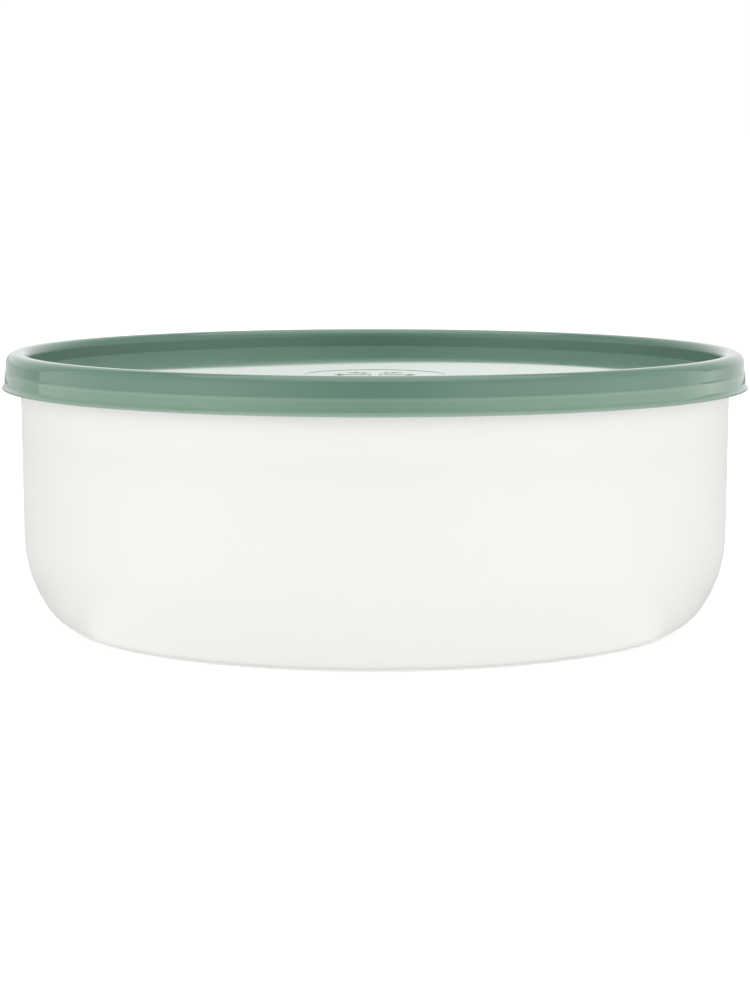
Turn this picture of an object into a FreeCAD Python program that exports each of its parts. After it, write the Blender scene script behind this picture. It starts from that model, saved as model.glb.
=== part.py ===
import FreeCAD, Part
import math
import os

# Round food container: a translucent moulded tub, and a flexible lid that snaps over the tub's rim.
# Each is one injection moulding and a body of revolution about Z. Millimetres, +Z up. The origin is
# the centre of the circle on which the tub's foot ring stands, and the lid is at rest on the rim.

# Tub: wall and the compound corner that turns it into the base
WALL_RADIUS = 80.49           # outside of the wall where the corner starts
WALL_THICKNESS = 1.1
DRAFT = 0.01                  # radians from the vertical, the wall widens upwards
CORNER_TOP = 20.15            # height where the corner starts
CORNER_LARGE_ARC = 27.6
CORNER_LARGE_TURN = math.radians(34.2)
CORNER_SMALL_ARC = 11.56
CORNER_SMALL_TURN = math.radians(31.4)
CORNER_INNER_ARC = 26.0       # inside arc opposite the large outside arc

# Tub: base, foot ring and the gate vestige under its centre
FOOT_RADIUS = 70.3
FOOT_WIDTH = 1.4
FOOT_ROUNDING = 0.3
BASE_UNDERSIDE = 0.9
BASE_THICKNESS = 1.2
GATE_RADIUS = 1.4
GATE_TIP_RADIUS = 1.0
GATE_HEIGHT = 0.5

# Tub: shoulder and rim, under the lid's skirt
SHOULDER_BOTTOM = 54.2
SHOULDER_HEIGHT = 1.0
SHOULDER_STEP = 0.77
MOUTH_RADIUS = 80.45          # inside of the wall above the shoulder
MOUTH_WALL = 1.15
RIM_RADIUS = 82.55            # outside of the bead that the lid snaps under
RIM_BEAD_BOTTOM = 58.9
RIM_BEAD_TAPER = 0.6
RIM_TOP = 61.3                # flat land that the lid sits on
RIM_ROUNDING = 0.5

# Lid: rim channel and skirt
LID_TOP = 62.3
RIM_INNER_RADIUS = 79.25      # top of the recess wall
RIM_OUTER_RADIUS = 84.12      # top of the skirt
RIM_INNER_ROUNDING = 2.0
RIM_OUTER_ROUNDING = 2.2
SKIRT_STEP_TOP = 58.3
SKIRT_STEP_BOTTOM = 57.9
SKIRT_UPPER_RADIUS = 84.26    # upper zone, just above the small step
SKIRT_LOWER_RADIUS = 84.4     # lower zone, just below the small step
SKIRT_FOOT_RADIUS = 84.48     # lower zone where it starts to flare
FLARE_TOP = 55.3
FLARE_ROUNDING = 1.5
SKIRT_INNER_RADIUS = 83.35
LIP_RADIUS = 85.0             # lip along the skirt's lower edge, the widest part
LIP_TOP = 54.7
LIP_BOTTOM = 54.2
LIP_LEAD_IN = 0.4             # flare inside the lower edge
SNAP_RADIUS = 82.85           # inner bead that hooks under the tub's rim bead
SNAP_BOTTOM = 57.4
SNAP_TOP = 58.9
SNAP_LAND = 0.4

# Lid: recessed panel and the plug that hangs in the tub's mouth
PANEL_TOP = 57.9
PANEL_THICKNESS = 1.0
PANEL_RADIUS = 79.1           # foot of the recess wall
PLUG_RADIUS = 80.15
PLUG_TIP_RADIUS = 80.0
PLUG_ROUNDING = 0.8
SMALL_ROUNDING = 0.25
EDGE_ROUNDING = 0.1

SHORTEST_EDGE = 1e-6
FULL_TURN = 360


def point(radius, height):
    """A point of the half section, which is drawn in the XZ plane."""
    return FreeCAD.Vector(radius, 0, height)


def corner_arc(before, corner, after, rounding):
    """The tangent points and the middle of the arc that rounds one corner."""
    way_in = (before - corner).normalize()
    way_out = (after - corner).normalize()
    half_angle = way_in.getAngle(way_out) / 2
    reach = rounding / math.tan(half_angle)
    inward = (way_in + way_out).normalize()
    centre = corner + inward * (rounding / math.sin(half_angle))
    return corner + way_in * reach, centre - inward * rounding, corner + way_out * reach


def revolved(corners):
    """The solid turned about Z from a closed half section of (radius, height, rounding) corners."""
    points = [point(radius, height) for radius, height, _ in corners]
    count = len(points)
    stretches = []
    for index, (_, _, rounding) in enumerate(corners):
        here = points[index]
        if rounding:
            stretches.append(corner_arc(points[index - 1], here, points[(index + 1) % count], rounding))
        else:
            stretches.append((here, here, here))
    edges = []
    for index, (start, middle, end) in enumerate(stretches):
        if start.distanceToPoint(end) > SHORTEST_EDGE:
            edges.append(Part.Arc(start, middle, end).toShape())
        following = stretches[(index + 1) % count][0]
        if end.distanceToPoint(following) > SHORTEST_EDGE:
            edges.append(Part.LineSegment(end, following).toShape())
    face = Part.Face(Part.Wire(edges))
    return face.revolve(point(0, 0), FreeCAD.Vector(0, 0, 1), FULL_TURN)


def stepped(start, heading, distance):
    """The place reached along a heading, which is measured from straight down towards the axis."""
    return start[0] - distance * math.sin(heading), start[1] - distance * math.cos(heading)


def bend(start, heading, arcs):
    """Corners of tangent (radius, turn) arcs that follow one another down from a start, and their end."""
    corners = []
    here = start
    for arc_radius, turn in arcs:
        reach = arc_radius * math.tan(turn / 2)
        corner = stepped(here, heading, reach)
        heading += turn
        here = stepped(corner, heading, reach)
        corners.append((corner[0], corner[1], arc_radius))
    return corners, here


def wall_radius(height):
    """Outside radius of the drafted wall at a height above the corner."""
    return WALL_RADIUS + (height - CORNER_TOP) * math.tan(DRAFT)


def tub_outside():
    """From the rim's bead down the outside of the wall to the foot of the corner."""
    shoulder_top = SHOULDER_BOTTOM + SHOULDER_HEIGHT
    outside = wall_radius(SHOULDER_BOTTOM)
    upper = MOUTH_RADIUS + MOUTH_WALL
    arcs = [(CORNER_LARGE_ARC, CORNER_LARGE_TURN), (CORNER_SMALL_ARC, CORNER_SMALL_TURN)]
    corners, end = bend((WALL_RADIUS, CORNER_TOP), DRAFT, arcs)
    return [
        (RIM_RADIUS, RIM_TOP, RIM_ROUNDING),
        (RIM_RADIUS, RIM_BEAD_BOTTOM + RIM_BEAD_TAPER, RIM_ROUNDING),
        (upper, RIM_BEAD_BOTTOM, SMALL_ROUNDING),
        (upper, shoulder_top, RIM_ROUNDING),
        (outside, SHOULDER_BOTTOM, RIM_ROUNDING),
    ] + corners + [(end[0], end[1], 0)]


def tub_foot():
    """The foot ring, the raised base inside it and the gate vestige at the centre."""
    foot_inner = FOOT_RADIUS - FOOT_WIDTH
    gate_tip = BASE_UNDERSIDE - GATE_HEIGHT
    return [
        (FOOT_RADIUS, 0, FOOT_ROUNDING),
        (foot_inner, 0, FOOT_ROUNDING),
        (foot_inner - FOOT_ROUNDING, BASE_UNDERSIDE, FOOT_ROUNDING),
        (GATE_RADIUS, BASE_UNDERSIDE, 0),
        (GATE_TIP_RADIUS, gate_tip, 0),
        (0, gate_tip, 0),
    ]


def tub_inside():
    """From the centre of the floor up the inside of the wall to the mouth."""
    floor = BASE_UNDERSIDE + BASE_THICKNESS
    inside = WALL_RADIUS - WALL_THICKNESS
    large_arc = (CORNER_INNER_ARC, CORNER_LARGE_TURN)
    start = (inside, CORNER_TOP)
    _, turned = bend(start, DRAFT, [large_arc])
    heading = DRAFT + CORNER_LARGE_TURN
    floor_arc = ((turned[1] - floor) / (1 - math.sin(heading)), math.pi / 2 - heading)
    corners, _ = bend(start, DRAFT, [large_arc, floor_arc])
    shoulder = SHOULDER_BOTTOM + (MOUTH_WALL + WALL_THICKNESS) / math.pi
    return [(0, floor, 0)] + corners[::-1] + [
        (wall_radius(shoulder) - WALL_THICKNESS, shoulder, RIM_ROUNDING),
        (MOUTH_RADIUS, shoulder + SHOULDER_HEIGHT, RIM_ROUNDING),
        (MOUTH_RADIUS, RIM_TOP, RIM_ROUNDING),
    ]


def tub():
    return revolved(tub_outside() + tub_foot() + tub_inside())


def lid_outside():
    """From the centre of the panel, over the rim, and down the skirt to its lip."""
    return [
        (0, PANEL_TOP, 0),
        (PANEL_RADIUS, PANEL_TOP, EDGE_ROUNDING),
        (RIM_INNER_RADIUS, LID_TOP, RIM_INNER_ROUNDING),
        (RIM_OUTER_RADIUS, LID_TOP, RIM_OUTER_ROUNDING),
        (SKIRT_UPPER_RADIUS, SKIRT_STEP_TOP, SMALL_ROUNDING),
        (SKIRT_LOWER_RADIUS, SKIRT_STEP_BOTTOM, SMALL_ROUNDING),
        (SKIRT_FOOT_RADIUS, FLARE_TOP, FLARE_ROUNDING),
        (LIP_RADIUS, LIP_TOP, SMALL_ROUNDING),
        (LIP_RADIUS, LIP_BOTTOM, EDGE_ROUNDING),
    ]


def lid_inside():
    """From the lip up inside the skirt, across the channel, and down the plug to the panel."""
    channel_top = RIM_TOP
    snap_middle = (SNAP_BOTTOM + SNAP_TOP) / 2
    panel_underside = PANEL_TOP - PANEL_THICKNESS
    return [
        (SKIRT_INNER_RADIUS + LIP_LEAD_IN, LIP_BOTTOM, SMALL_ROUNDING),
        (SKIRT_INNER_RADIUS, LIP_TOP, SMALL_ROUNDING),
        (SKIRT_INNER_RADIUS, SNAP_BOTTOM, SMALL_ROUNDING),
        (SNAP_RADIUS, snap_middle - SNAP_LAND / 2, EDGE_ROUNDING),
        (SNAP_RADIUS, snap_middle + SNAP_LAND / 2, EDGE_ROUNDING),
        (SKIRT_INNER_RADIUS, SNAP_TOP, SMALL_ROUNDING),
        (SKIRT_INNER_RADIUS, channel_top, RIM_ROUNDING),
        (PLUG_RADIUS, channel_top, SMALL_ROUNDING),
        (PLUG_TIP_RADIUS, panel_underside, PLUG_ROUNDING),
        (0, panel_underside, 0),
    ]


def lid():
    return revolved(lid_outside() + lid_inside())


os.makedirs("parts", exist_ok=True)
for node, solid in {"tub": tub(), "lid": lid()}.items():
    solid.exportStep("parts/" + node + ".step")
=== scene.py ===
import math

import bpy
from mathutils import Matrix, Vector


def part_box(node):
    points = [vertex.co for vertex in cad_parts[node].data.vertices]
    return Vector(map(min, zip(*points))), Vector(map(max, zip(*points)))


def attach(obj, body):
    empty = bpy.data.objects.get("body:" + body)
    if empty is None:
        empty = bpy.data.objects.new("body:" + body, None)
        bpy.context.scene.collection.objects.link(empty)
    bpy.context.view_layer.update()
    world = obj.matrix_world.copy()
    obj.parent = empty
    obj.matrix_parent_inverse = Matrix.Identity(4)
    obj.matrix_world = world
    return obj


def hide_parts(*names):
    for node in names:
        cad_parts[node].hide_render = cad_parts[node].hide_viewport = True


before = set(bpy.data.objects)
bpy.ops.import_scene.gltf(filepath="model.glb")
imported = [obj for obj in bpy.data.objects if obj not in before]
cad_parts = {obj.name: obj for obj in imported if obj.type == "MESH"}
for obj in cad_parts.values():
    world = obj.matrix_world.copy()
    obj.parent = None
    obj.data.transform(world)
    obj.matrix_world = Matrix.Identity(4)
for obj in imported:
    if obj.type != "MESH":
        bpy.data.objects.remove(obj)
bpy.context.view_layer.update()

# Looks of the round snap-lid food container: a milky translucent tub and a glossy sage-green lid.
# Lengths are in metres in the CAD frame. MM turns the mouldings' millimetre dimensions into metres.

MM = 0.001
TUB_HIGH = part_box("tub")[1]
LID_LOW, LID_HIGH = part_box("lid")
SEGMENTS = 288                # steps round each moulding
LONGEST_STEP = 3.0 * MM       # between two rings of a straight stretch
ARC_STEP = math.radians(9)    # between two rings of a rounded corner
SHORTEST_STEP = 0.001 * MM    # a straight stretch under this is left out

# Tub wall, corner and base
WALL_RADIUS = 80.49 * MM
WALL_THICKNESS = 1.1 * MM
DRAFT = 0.01
CORNER_TOP = 20.15 * MM
LARGE_TURN = math.radians(34.2)
SMALL_TURN = math.radians(31.4)
OUTER_LARGE_ARC = 27.6 * MM
OUTER_SMALL_ARC = 11.56 * MM
INNER_LARGE_ARC = 26.0 * MM
FOOT_RADIUS = 70.3 * MM
FOOT_WIDTH = 1.4 * MM
FOOT_TAPER = 0.25 * MM        # how much the foot ring widens inwards, up to the base
UNDERSIDE = 0.9 * MM
FLOOR = 2.1 * MM
GATE_RADIUS = 1.4 * MM
GATE_HEIGHT = 0.5 * MM
TOOL_RING_RADIUS = 31.0 * MM  # witness line of the round insert in the mould, under the base
TOOL_RING_WIDTH = 0.35 * MM
TOOL_RING_DEPTH = 0.08 * MM

# Tub shoulder and rim
SHOULDER = 54.2 * MM
SHOULDER_HEIGHT = 1.0 * MM
INNER_SHOULDER = 54.92 * MM
MOUTH_RADIUS = 80.45 * MM
MOUTH_WALL = 1.15 * MM
RIM_RADIUS = 82.55 * MM
RIM_BEAD = 58.9 * MM
RIM_BEAD_TAPER = 0.6 * MM
RIM_TOP = TUB_HIGH.z

# Lid rim and skirt
LID_TOP = LID_HIGH.z
LIP_RADIUS = LID_HIGH.x
LIP_BOTTOM = LID_LOW.z
LIP_TOP = 54.7 * MM
LIP_LEAD_IN = 0.4 * MM
FLARE_TOP = 55.3 * MM         # where the skirt starts to flare out to the lip
RIM_INNER = 79.25 * MM
RIM_OUTER = 84.12 * MM
STEP_TOP = 58.3 * MM
STEP_BOTTOM = 57.9 * MM
UPPER_SKIRT = 84.26 * MM
LOWER_SKIRT = 84.4 * MM
SKIRT_FOOT = 84.48 * MM
SKIRT_INNER = 83.35 * MM
SNAP_RADIUS = 82.85 * MM
SNAP_BOTTOM = 57.4 * MM
SNAP_TOP = 58.9 * MM
SNAP_LAND = 0.4 * MM

# Lid panel and plug
PANEL_TOP = 57.9 * MM
PANEL_UNDERSIDE = 56.9 * MM
PANEL_RADIUS = 79.1 * MM
PLUG_RADIUS = 80.15 * MM
PLUG_TIP = 80.0 * MM
WARP = 0.15                   # twist of the flexible panel, in metres per square metre
RIM_INNER_ROUNDING = 2.0 * MM
RIM_OUTER_ROUNDING = 2.2 * MM
FLARE_ROUNDING = 1.5 * MM     # where the skirt turns outwards into the lip
MEDIUM_ROUNDING = 0.5 * MM
PANEL_ROUNDING = 0.04 * MM
SMALL_ROUNDING = 0.25 * MM
FINE_ROUNDING = 0.08 * MM

# Raised emblem on the panel: a plain ring round a six-armed star
EMBLEM_CENTRE = (0.0, -19.1 * MM)
EMBLEM_RADIUS = 15.8 * MM
EMBLEM_LINE = 0.4 * MM
EMBLEM_HEIGHT = 0.06 * MM
EMBLEM_ROOT = 0.1 * MM        # how far it reaches into the panel
EMBLEM_SLOPE = 0.05 * MM      # how much narrower its top is on each side
EMBLEM_STEP = 1.0 * MM        # between two sections of a straight stroke
STAR_INNER = 2.0 * MM
STAR_OUTER = 9.0 * MM
STAR_ARMS = 6
TWIG_SHARE = 0.62             # how far out on an arm its two twigs start
TWIG_LENGTH = 3.0 * MM
TWIG_TURN = math.radians(50)

# Lid plastic: colours, and the heights between which they change down the skirt. The edge of its small
# step carries a painted highlight; below it the single-wall skirt and the lip are painted lighter, as
# painted light that comes through them.
SAGE = (0.086, 0.179, 0.129)
STEP_HIGHLIGHT_SAGE = (0.153, 0.259, 0.184)
SKIRT_GLOW_SAGE = (0.135, 0.238, 0.167)
LIP_GLOW_SAGE = (0.31, 0.39, 0.33)
EDGE_FROM = 58.3 * MM
EDGE_TO = 57.55 * MM
EDGE_END = 57.0 * MM
LIGHT_FROM = 55.2 * MM
LIGHT_TO = 53.9 * MM
SATIN_FADE = 0.5 * MM         # over which the recess wall's satin turns into polish

# Tub plastic: colours, painted lighter towards the shoulder as painted light against the shade under the lid,
# and how far light scatters in it
THIN_MILK = (0.76, 0.76, 0.742)
MILK = (0.783, 0.781, 0.762)
SHOULDER_GLOW_MILK = (0.88, 0.87, 0.854)
SHOULDER_GLOW_FROM = 42 * MM
MILK_INDEX = 1.49
MILK_SCATTER = 1.0 * MM

# Surface of both plastics. Roughnesses are (least, most), noises are (repeats per metre, detail), and
# bumps are (strength, height).
POLISH = (0.02, 0.06)
SATIN = (0.26, 0.3)
MILK_SATIN = (0.28, 0.4)
POLISH_NOISE = (60, 4)
SATIN_NOISE = (150, 3)
MILK_SATIN_NOISE = (80, 4)
MILK_CLOUDS = (14, 3)
SAGE_GRAIN = (900, 2)
MILK_GRAIN = (1400, 2)
SAGE_BUMP = (0.03, 0.03 * MM)
MILK_BUMP = (0.08, 0.05 * MM)

# Studio
TABLE_REACH = 30.0
TABLE_VALUE = 0.5
TABLE_GLOW = 0.62
HORIZON_LIGHT = 1.02
ABOVE_LIGHT = 1.1
SIDE_LIGHT = 0.55
LOW_SKY = math.sin(math.radians(12))
HIGH_SKY = math.sin(math.radians(25))
OVERHEAD_LIGHT = 1.3
OVERHEAD_ANGLE = math.radians(80)

# Camera
CAMERA_DISTANCE = 7.5 * LIP_RADIUS
CAMERA_HEIGHT = 103.7 * MM
CAMERA_PITCH = 0.119
LENS = 100
SENSOR = 36

# Reflection cards round the container. Strengths are (degrees from the front towards the right, strength)
# pairs, and rows are (radius, height, share of the strength).
SIDE_CARD = [(-163, 0.75), (-131, 0.9), (-130, 0.75), (-119, 0.74), (-118, 1.4), (-107, 1.75), (-80, 2.05),
             (-50, 2.35), (-26, 1.5), (-12, 0.95), (0, 0.75), (12, 0.95), (26, 1.7), (50, 2.1), (75, 2.4),
             (100, 1.85), (114, 2.0), (119, 2.0), (126, 1.4), (133, 1.05), (163, 0.95)]
SIDE_ROWS = [(0.85, 0.0005, 1.0), (0.85, 0.15, 1.0), (0.85, 0.6, 0.7), (0.85, 1.4, 0.45)]
BACK_CARD = [(115, 0.9), (145, 1.1), (215, 1.1), (245, 0.9)]
BACK_ROWS = [(0.83, 0.12, 1.0), (0.83, 0.35, 1.0), (0.83, 0.9, 0.75)]
LEFT_TABLE_CARD = [(-172, 0.4), (-88, 0.4), (-60, 1.1)]
RIGHT_TABLE_CARD = [(60, 1.1), (88, 0.4), (172, 0.4)]
TABLE_ROWS = [(0.0715, 0.0003, 0.4), (0.12, 0.0005, 1.0), (0.84, 0.0005, 1.0)]


def direction(start, end):
    """Angle of the way from one (radius, height) point to another."""
    return math.atan2(end[1] - start[1], end[0] - start[0])


def turn_between(heading_in, heading_out):
    """Signed turn from one heading to another, under half a turn."""
    return (heading_out - heading_in + math.pi) % (2 * math.pi) - math.pi


def rounded_outline(corners):
    """Points of an outline that starts and ends on the axis, with the heading at each point.

    A corner is (radius, height, rounding), and the rounding is a tangent arc.
    """
    samples = [(corners[0][0], corners[0][1], direction(corners[0], corners[1]))]
    for before, corner, after in zip(corners, corners[1:], corners[2:]):
        radius, height, rounding = corner
        heading = direction(before, corner)
        turn = turn_between(heading, direction(corner, after))
        reach = rounding * math.tan(abs(turn) / 2)
        start = (radius - reach * math.cos(heading), height - reach * math.sin(heading))
        add_straight(samples, start, heading)
        steps = max(2, math.ceil(abs(turn) / ARC_STEP))
        side = math.copysign(rounding, turn)
        for step in range(1, steps + 1):
            angle = heading + turn * step / steps
            arc_radius = start[0] + side * (math.sin(angle) - math.sin(heading))
            arc_height = start[1] - side * (math.cos(angle) - math.cos(heading))
            samples.append((arc_radius, arc_height, angle))
    add_straight(samples, corners[-1][:2], direction(corners[-2], corners[-1]))
    return samples


def add_straight(samples, end, heading):
    """Adds the points of a straight stretch, with its end, unless it has no length."""
    start = samples[-1]
    length = math.dist(start[:2], end)
    if length < SHORTEST_STEP:
        return
    steps = max(1, math.ceil(length / LONGEST_STEP))
    for step in range(1, steps + 1):
        share = step / steps
        radius = start[0] + (end[0] - start[0]) * share
        height = start[1] + (end[1] - start[1]) * share
        samples.append((radius, height, heading))


def bend(start, heading, arcs):
    """Corners of tangent (radius, turn) arcs from a start, with the heading down and inwards, and the end."""
    corners = []
    here = start
    for arc, turn in arcs:
        reach = arc * math.tan(turn / 2)
        corner = (here[0] - reach * math.sin(heading), here[1] - reach * math.cos(heading))
        heading += turn
        here = (corner[0] - reach * math.sin(heading), corner[1] - reach * math.cos(heading))
        corners.append((corner[0], corner[1], arc))
    return corners, here


def flat(x, y):
    """No relief: height and slopes of a moulding that keeps its drawn shape."""
    return 0.0, 0.0, 0.0


def panel_twist(x, y):
    """Height and slopes of the flexible panel's twist, which dies out at the foot of the recess wall."""
    distance = (x * x + y * y) / PANEL_RADIUS ** 2
    if distance >= 1:
        return 0.0, 0.0, 0.0
    fade = (1 - distance) ** 2
    fade_slope = -4 * (1 - distance) / PANEL_RADIUS ** 2
    height = WARP * x * y * fade
    slope_x = WARP * (y * fade + x * y * fade_slope * x)
    slope_y = WARP * (x * fade + x * y * fade_slope * y)
    return height, slope_x, slope_y


def new_piece(name, vertices, faces, material):
    """A mesh object in the scene, with its material."""
    mesh = bpy.data.meshes.new(name)
    mesh.from_pydata(vertices, [], faces)
    mesh.materials.append(material)
    piece = bpy.data.objects.new(name, mesh)
    bpy.context.scene.collection.objects.link(piece)
    return piece


def turned(name, corners, material, relief=flat):
    """A closed piece turned about Z from an outline, with exact normals."""
    samples = rounded_outline(corners)
    vertices = []
    normals = []
    rings = []
    for radius, height, heading in samples:
        on_axis = radius < FINE_ROUNDING
        count = 1 if on_axis else SEGMENTS
        rings.append((len(vertices), count))
        for step in range(count):
            angle = 2 * math.pi * step / SEGMENTS
            x, y = (0.0, 0.0) if on_axis else (radius * math.cos(angle), radius * math.sin(angle))
            lift, slope_x, slope_y = relief(x, y)
            across = 0.0 if on_axis else -math.sin(heading)
            up = math.cos(heading)
            vertices.append((x, y, height + lift))
            normal = Vector((across * math.cos(angle) - slope_x * up,
                             across * math.sin(angle) - slope_y * up, up))
            normals.append(normal.normalized())
    faces = []
    for (first, first_count), (second, second_count) in zip(rings, rings[1:]):
        for step in range(SEGMENTS):
            following = (step + 1) % SEGMENTS
            if first_count == 1:
                faces.append((first, second + step, second + following))
            elif second_count == 1:
                faces.append((first + step, second, first + following))
            else:
                faces.append((first + step, second + step, second + following, first + following))
    piece = new_piece(name, vertices, faces, material)
    piece.data.validate()
    piece.data.shade_smooth()
    piece.data.normals_split_custom_set_from_vertices(normals)
    return piece


def tub_outline():
    """From the centre of the floor up the inside, over the rim, down the outside and across the base."""
    wall_top = WALL_RADIUS + (SHOULDER - CORNER_TOP) * math.tan(DRAFT)
    inner_top = WALL_RADIUS - WALL_THICKNESS + (INNER_SHOULDER - CORNER_TOP) * math.tan(DRAFT)
    upper_wall = MOUTH_RADIUS + MOUTH_WALL
    inner_start = (WALL_RADIUS - WALL_THICKNESS, CORNER_TOP)
    large_arc = (INNER_LARGE_ARC, LARGE_TURN)
    _, turned_to = bend(inner_start, DRAFT, [large_arc])
    heading = DRAFT + LARGE_TURN
    floor_arc = ((turned_to[1] - FLOOR) / (1 - math.sin(heading)), math.pi / 2 - heading)
    inner_corner, _ = bend(inner_start, DRAFT, [large_arc, floor_arc])
    outer_arcs = [(OUTER_LARGE_ARC, LARGE_TURN), (OUTER_SMALL_ARC, SMALL_TURN)]
    outer_corner, foot_top = bend((WALL_RADIUS, CORNER_TOP), DRAFT, outer_arcs)
    foot_inner = FOOT_RADIUS - FOOT_WIDTH
    gate_tip = UNDERSIDE - GATE_HEIGHT
    ring_outer = TOOL_RING_RADIUS + TOOL_RING_WIDTH
    ring_inner = TOOL_RING_RADIUS - TOOL_RING_WIDTH
    return [
        (0, FLOOR, 0),
    ] + inner_corner[::-1] + [
        (inner_top, INNER_SHOULDER, MEDIUM_ROUNDING),
        (MOUTH_RADIUS, INNER_SHOULDER + SHOULDER_HEIGHT, MEDIUM_ROUNDING),
        (MOUTH_RADIUS, RIM_TOP, MEDIUM_ROUNDING),
        (RIM_RADIUS, RIM_TOP, MEDIUM_ROUNDING),
        (RIM_RADIUS, RIM_BEAD + RIM_BEAD_TAPER, MEDIUM_ROUNDING),
        (upper_wall, RIM_BEAD, SMALL_ROUNDING),
        (upper_wall, SHOULDER + SHOULDER_HEIGHT, MEDIUM_ROUNDING),
        (wall_top, SHOULDER, MEDIUM_ROUNDING),
    ] + outer_corner + [
        (foot_top[0], foot_top[1], FINE_ROUNDING),
        (FOOT_RADIUS, 0, SMALL_ROUNDING),
        (foot_inner, 0, SMALL_ROUNDING),
        (foot_inner - FOOT_TAPER, UNDERSIDE, SMALL_ROUNDING),
        (ring_outer, UNDERSIDE, FINE_ROUNDING),
        (TOOL_RING_RADIUS, UNDERSIDE + TOOL_RING_DEPTH, FINE_ROUNDING),
        (ring_inner, UNDERSIDE, FINE_ROUNDING),
        (GATE_RADIUS, UNDERSIDE, FINE_ROUNDING),
        (GATE_RADIUS - GATE_HEIGHT, gate_tip, FINE_ROUNDING),
        (0, gate_tip, 0),
    ]


def lid_outline():
    """From the centre of the panel over the rim, down the skirt, and back under the channel and the panel."""
    snap_middle = (SNAP_BOTTOM + SNAP_TOP) / 2
    return [
        (0, PANEL_TOP, 0),
        (PANEL_RADIUS, PANEL_TOP, PANEL_ROUNDING),
        (RIM_INNER, LID_TOP, RIM_INNER_ROUNDING),
        (RIM_OUTER, LID_TOP, RIM_OUTER_ROUNDING),
        (UPPER_SKIRT, STEP_TOP, SMALL_ROUNDING),
        (LOWER_SKIRT, STEP_BOTTOM, SMALL_ROUNDING),
        (SKIRT_FOOT, FLARE_TOP, FLARE_ROUNDING),
        (LIP_RADIUS, LIP_TOP, SMALL_ROUNDING),
        (LIP_RADIUS, LIP_BOTTOM, FINE_ROUNDING),
        (SKIRT_INNER + LIP_LEAD_IN, LIP_BOTTOM, SMALL_ROUNDING),
        (SKIRT_INNER, LIP_TOP, SMALL_ROUNDING),
        (SKIRT_INNER, SNAP_BOTTOM, SMALL_ROUNDING),
        (SNAP_RADIUS, snap_middle - SNAP_LAND / 2, FINE_ROUNDING),
        (SNAP_RADIUS, snap_middle + SNAP_LAND / 2, FINE_ROUNDING),
        (SKIRT_INNER, SNAP_TOP, SMALL_ROUNDING),
        (SKIRT_INNER, RIM_TOP, MEDIUM_ROUNDING),
        (PLUG_RADIUS, RIM_TOP, SMALL_ROUNDING),
        (PLUG_TIP, PANEL_UNDERSIDE, MEDIUM_ROUNDING),
        (0, PANEL_UNDERSIDE, 0),
    ]


def rib(path, closed):
    """Corners and faces of a low rib with sloping sides along (x, y) points of the panel."""
    half = EMBLEM_LINE / 2
    section = [(-half, -EMBLEM_ROOT), (half, -EMBLEM_ROOT),
               (half - EMBLEM_SLOPE, EMBLEM_HEIGHT), (EMBLEM_SLOPE - half, EMBLEM_HEIGHT)]
    sides = len(section)
    count = len(path)
    vertices = []
    for index, here in enumerate(path):
        before = path[index - 1] if closed or index else here
        after = path[(index + 1) % count] if closed or index < count - 1 else here
        along = (after - before).normalized()
        for aside, lift in section:
            x = here.x - along.y * aside
            y = here.y + along.x * aside
            vertices.append((x, y, PANEL_TOP + panel_twist(x, y)[0] + lift))
    faces = []
    for index in range(count if closed else count - 1):
        first = sides * index
        second = sides * ((index + 1) % count)
        for side in range(sides):
            following = (side + 1) % sides
            faces.append((first + side, first + following, second + following, second + side))
    if not closed:
        last = sides * (count - 1)
        faces += [tuple(reversed(range(sides))), tuple(range(last, last + sides))]
    return vertices, faces


def outward(angle):
    """The (x, y) direction at an angle."""
    return Vector((math.cos(angle), math.sin(angle)))


def straight_stroke(start, angle, length):
    """Points of a stroke from a start, at an angle."""
    steps = math.ceil(length / EMBLEM_STEP)
    return [start + outward(angle) * (length * step / steps) for step in range(steps + 1)]


def ring_stroke(centre):
    """Points round the emblem's ring."""
    return [centre + outward(2 * math.pi * step / SEGMENTS) * EMBLEM_RADIUS for step in range(SEGMENTS)]


def emblem_strokes():
    """Paths of the emblem's ring and star, each with whether it closes on itself."""
    centre = Vector(EMBLEM_CENTRE)
    arm_length = STAR_OUTER - STAR_INNER
    strokes = [(ring_stroke(centre), True)]
    for arm in range(STAR_ARMS):
        angle = 2 * math.pi * arm / STAR_ARMS
        start = centre + outward(angle) * STAR_INNER
        strokes.append((straight_stroke(start, angle, arm_length), False))
        fork = start + outward(angle) * (arm_length * TWIG_SHARE)
        for turn in (-TWIG_TURN, TWIG_TURN):
            strokes.append((straight_stroke(fork, angle + turn, TWIG_LENGTH), False))
    return strokes


def make_emblem(material):
    """The raised emblem, each stroke a closed rib rooted in the panel."""
    vertices = []
    faces = []
    for path, closed in emblem_strokes():
        corners, sides = rib(path, closed)
        faces += [tuple(len(vertices) + corner for corner in side) for side in sides]
        vertices += corners
    return new_piece("lid_emblem", vertices, faces, material)


def new_material(name):
    """A node material, its node tree and its Principled shader."""
    material = bpy.data.materials.new(name)
    material.use_nodes = True
    return material, material.node_tree, material.node_tree.nodes["Principled BSDF"]


def object_place(tree):
    """The place on the piece, in its own coordinates."""
    return tree.nodes.new("ShaderNodeTexCoord").outputs["Object"]


def object_noise(tree, noise):
    """A noise texture on the piece."""
    repeats, detail = noise
    texture = tree.nodes.new("ShaderNodeTexNoise")
    texture.inputs["Scale"].default_value = repeats
    texture.inputs["Detail"].default_value = detail
    tree.links.new(object_place(tree), texture.inputs["Vector"])
    return texture.outputs["Fac"]


def ranged(tree, source, limits, span=(0, 1), easing="LINEAR"):
    """A value that goes between two limits as a source goes over a span."""
    spread = tree.nodes.new("ShaderNodeMapRange")
    spread.interpolation_type = easing
    for name, value in zip(("From Min", "From Max", "To Min", "To Max"), (*span, *limits)):
        spread.inputs[name].default_value = value
    tree.links.new(source, spread.inputs["Value"])
    return spread.outputs["Result"]


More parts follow.
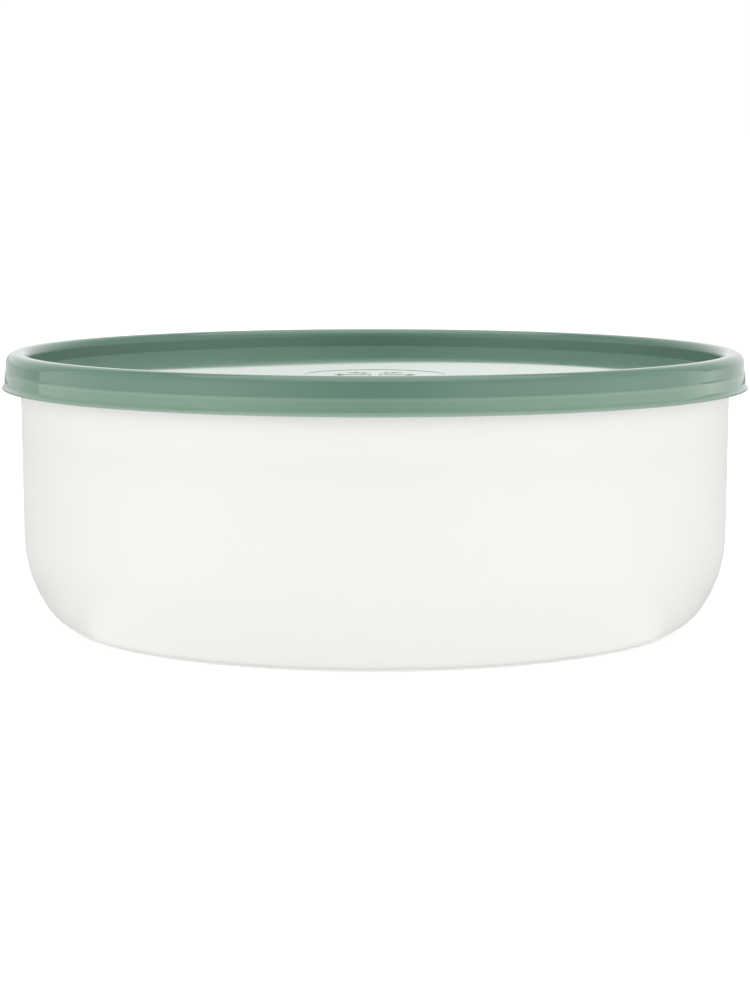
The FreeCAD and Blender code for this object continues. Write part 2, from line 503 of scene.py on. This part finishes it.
def eased_share(tree, source, start, end):
    """A share from none to all as a source goes from a start to an end, eased at both."""
    return ranged(tree, source, (0, 1), (start, end), "SMOOTHSTEP")


def height_share(tree, start, end):
    """An eased share between two heights of the piece."""
    split = tree.nodes.new("ShaderNodeSeparateXYZ")
    tree.links.new(object_place(tree), split.inputs["Vector"])
    return eased_share(tree, split.outputs["Z"], start, end)


def product(tree, first, second):
    """One value times another."""
    times = tree.nodes.new("ShaderNodeMath")
    times.operation = "MULTIPLY"
    tree.links.new(first, times.inputs[0])
    tree.links.new(second, times.inputs[1])
    return times.outputs["Value"]


def value_mix(tree, share, first, second):
    """A value between two others, by a share."""
    mix = tree.nodes.new("ShaderNodeMix")
    tree.links.new(share, mix.inputs["Factor"])
    tree.links.new(first, mix.inputs["A"])
    tree.links.new(second, mix.inputs["B"])
    return mix.outputs["Result"]


def colour_mix(tree, share, first, second):
    """A colour between a first one, fixed or from a node, and a fixed second one, by a share."""
    mix = tree.nodes.new("ShaderNodeMix")
    mix.data_type = "RGBA"
    tree.links.new(share, mix.inputs["Factor"])
    if isinstance(first, tuple):
        mix.inputs["A"].default_value = (*first, 1)
    else:
        tree.links.new(first, mix.inputs["A"])
    mix.inputs["B"].default_value = (*second, 1)
    return mix.outputs["Result"]


def add_bump(tree, shader, texture, bump_size):
    """Gives a shader a bump from a texture."""
    strength, height = bump_size
    bump = tree.nodes.new("ShaderNodeBump")
    bump.inputs["Strength"].default_value = strength
    bump.inputs["Distance"].default_value = height
    tree.links.new(texture, bump.inputs["Height"])
    tree.links.new(bump.outputs["Normal"], shader.inputs["Normal"])


def recess_wall_share(tree):
    """All on the wall round the recessed panel and none elsewhere, eased over the rim's inner rounding."""
    across = tree.nodes.new("ShaderNodeVectorMath")
    across.operation = "MULTIPLY"
    across.inputs[1].default_value = (1, 1, 0)
    tree.links.new(object_place(tree), across.inputs[0])
    radius = tree.nodes.new("ShaderNodeVectorMath")
    radius.operation = "LENGTH"
    tree.links.new(across.outputs["Vector"], radius.inputs[0])
    inside_rim = eased_share(tree, radius.outputs["Value"], RIM_INNER + SATIN_FADE, RIM_INNER)
    foot = (PANEL_RADIUS - SMALL_ROUNDING, PANEL_RADIUS - FINE_ROUNDING)
    return product(tree, inside_rim, ranged(tree, radius.outputs["Value"], (0, 1), foot))


def sage_polyethylene():
    """Glossy flexible plastic with painted light down the skirt, and satin on the recess wall."""
    material, tree, shader = new_material("sage_polyethylene")
    # Painted highlight: a lighter band along the edge of the skirt's small step.
    step_highlight = colour_mix(tree, height_share(tree, EDGE_FROM, EDGE_TO), SAGE, STEP_HIGHLIGHT_SAGE)
    # Painted light: the single-wall skirt below the step is painted lighter, for light let through it.
    skirt = colour_mix(tree, height_share(tree, EDGE_TO, EDGE_END), step_highlight, SKIRT_GLOW_SAGE)
    # Painted light: the lip is painted pale, for light let through its thin edge.
    body = colour_mix(tree, height_share(tree, LIGHT_FROM, LIGHT_TO), skirt, LIP_GLOW_SAGE)
    tree.links.new(body, shader.inputs["Base Color"])
    polish = ranged(tree, object_noise(tree, POLISH_NOISE), POLISH)
    satin = ranged(tree, object_noise(tree, SATIN_NOISE), SATIN)
    tree.links.new(value_mix(tree, recess_wall_share(tree), polish, satin), shader.inputs["Roughness"])
    add_bump(tree, shader, object_noise(tree, SAGE_GRAIN), SAGE_BUMP)
    return material


def milky_polypropylene():
    """Satin translucent plastic that scatters light through its thin wall."""
    material, tree, shader = new_material("milky_polypropylene")
    cloud = colour_mix(tree, object_noise(tree, MILK_CLOUDS), THIN_MILK, MILK)
    # Painted light: the tub is painted lighter towards the shoulder, against the shade under the lid's skirt.
    body = colour_mix(tree, height_share(tree, SHOULDER_GLOW_FROM, SHOULDER), cloud, SHOULDER_GLOW_MILK)
    tree.links.new(body, shader.inputs["Base Color"])
    shader.inputs["IOR"].default_value = MILK_INDEX
    shader.inputs["Subsurface Weight"].default_value = 1.0
    shader.inputs["Subsurface Radius"].default_value = (1.0, 1.0, 1.0)
    shader.inputs["Subsurface Scale"].default_value = MILK_SCATTER
    tree.links.new(ranged(tree, object_noise(tree, MILK_SATIN_NOISE), MILK_SATIN), shader.inputs["Roughness"])
    add_bump(tree, shader, object_noise(tree, MILK_GRAIN), MILK_BUMP)
    return material


def paper(name, value, glow):
    """Matt white material of the studio, with a glow of its own."""
    material, tree, shader = new_material(name)
    shader.inputs["Base Color"].default_value = (value, value, value, 1)
    shader.inputs["Roughness"].default_value = 1.0
    shader.inputs["Specular IOR Level"].default_value = 0.0
    shader.inputs["Emission Color"].default_value = (1, 1, 1, 1)
    shader.inputs["Emission Strength"].default_value = glow
    return material, tree, shader


def make_floor():
    """A plain white table, lit a little from below, that reaches past every view."""
    corners = [(-TABLE_REACH, -TABLE_REACH, 0), (TABLE_REACH, -TABLE_REACH, 0),
               (TABLE_REACH, TABLE_REACH, 0), (-TABLE_REACH, TABLE_REACH, 0)]
    material, _, _ = paper("light_table", TABLE_VALUE, TABLE_GLOW)
    new_piece("floor", corners, [(0, 1, 2, 3)], material)


def between(pairs, position):
    """Value at a position, on straight lines between (position, value) pairs in order."""
    for (start, low), (end, high) in zip(pairs, pairs[1:]):
        if position <= end:
            return low + (high - low) * (position - start) / (end - start)
    return pairs[-1][1]


def make_card(name, strengths, rows):
    """A card curved round the container, which only shows as a reflection in gloss."""
    vertices = []
    levels = []
    first, last = strengths[0][0], strengths[-1][0]
    for degrees in range(first, last + 1):
        angle = math.radians(degrees)
        for radius, height, share in rows:
            vertices.append((radius * math.sin(angle), -radius * math.cos(angle), height))
            levels.append(between(strengths, degrees) * share)
    depth = len(rows)
    faces = []
    for column in range(last - first):
        for row in range(depth - 1):
            corner = column * depth + row
            faces.append((corner, corner + depth, corner + depth + 1, corner + 1))
    material, tree, shader = paper(name, 0.0, 1.0)
    card = new_piece(name, vertices, faces, material)
    card.visible_camera = False
    card.visible_diffuse = False
    card.visible_shadow = False
    card.visible_transmission = False
    layer = card.data.color_attributes.new("glow", "FLOAT_COLOR", "POINT")
    for index, level in enumerate(levels):
        layer.data[index].color = (level, level, level, 1)
    attribute = tree.nodes.new("ShaderNodeAttribute")
    attribute.attribute_name = "glow"
    tree.links.new(attribute.outputs["Color"], shader.inputs["Emission Color"])


def make_sky():
    """White surroundings, evenly bright near the horizon and darker above at both sides."""
    world = bpy.data.worlds.new("white_studio")
    world.use_nodes = True
    tree = world.node_tree
    place = tree.nodes.new("ShaderNodeTexCoord")
    split = tree.nodes.new("ShaderNodeSeparateXYZ")
    tree.links.new(place.outputs["Generated"], split.inputs["Vector"])
    sideways = product(tree, split.outputs["X"], split.outputs["X"])
    strength = tree.nodes.new("ShaderNodeMix")
    strength.inputs["A"].default_value = HORIZON_LIGHT
    tree.links.new(eased_share(tree, split.outputs["Z"], LOW_SKY, HIGH_SKY), strength.inputs["Factor"])
    tree.links.new(ranged(tree, sideways, (ABOVE_LIGHT, SIDE_LIGHT)), strength.inputs["B"])
    tree.links.new(strength.outputs["Result"], tree.nodes["Background"].inputs["Strength"])
    tree.nodes["Background"].inputs["Color"].default_value = (1, 1, 1, 1)
    bpy.context.scene.world = world


def make_overhead_light():
    """Wide soft light that shines straight down, the same all over the table."""
    light = bpy.data.lights.new("overhead", "SUN")
    light.angle = OVERHEAD_ANGLE
    light.energy = OVERHEAD_LIGHT
    lamp = bpy.data.objects.new("overhead", light)
    bpy.context.scene.collection.objects.link(lamp)


def make_studio():
    """The table, the sky, the overhead light and the reflection cards."""
    make_floor()
    make_sky()
    make_overhead_light()
    make_card("side_card", SIDE_CARD, SIDE_ROWS)
    make_card("back_card", BACK_CARD, BACK_ROWS)
    make_card("left_table_card", LEFT_TABLE_CARD, TABLE_ROWS)
    make_card("right_table_card", RIGHT_TABLE_CARD, TABLE_ROWS)


def make_camera():
    """A long lens well in front of the container, looking a little down."""
    data = bpy.data.cameras.new("camera")
    data.lens = LENS
    data.sensor_width = SENSOR
    camera = bpy.data.objects.new("camera", data)
    camera.location = (0, -CAMERA_DISTANCE, CAMERA_HEIGHT)
    camera.rotation_euler = (math.pi / 2 - CAMERA_PITCH, 0, 0)
    bpy.context.scene.collection.objects.link(camera)
    bpy.context.scene.camera = camera


def make_container():
    """The tub, and the lid with its emblem, in place of the CAD nodes."""
    tub = turned("tub_moulding", tub_outline(), milky_polypropylene())
    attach(tub, "tub")
    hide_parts("tub")
    sage = sage_polyethylene()
    lid = turned("lid_moulding", lid_outline(), sage, panel_twist)
    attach(lid, "lid")
    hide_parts("lid")
    emblem = make_emblem(sage)
    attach(emblem, "lid")


bpy.context.scene.view_settings.view_transform = "Standard"
make_camera()
make_studio()
make_container()
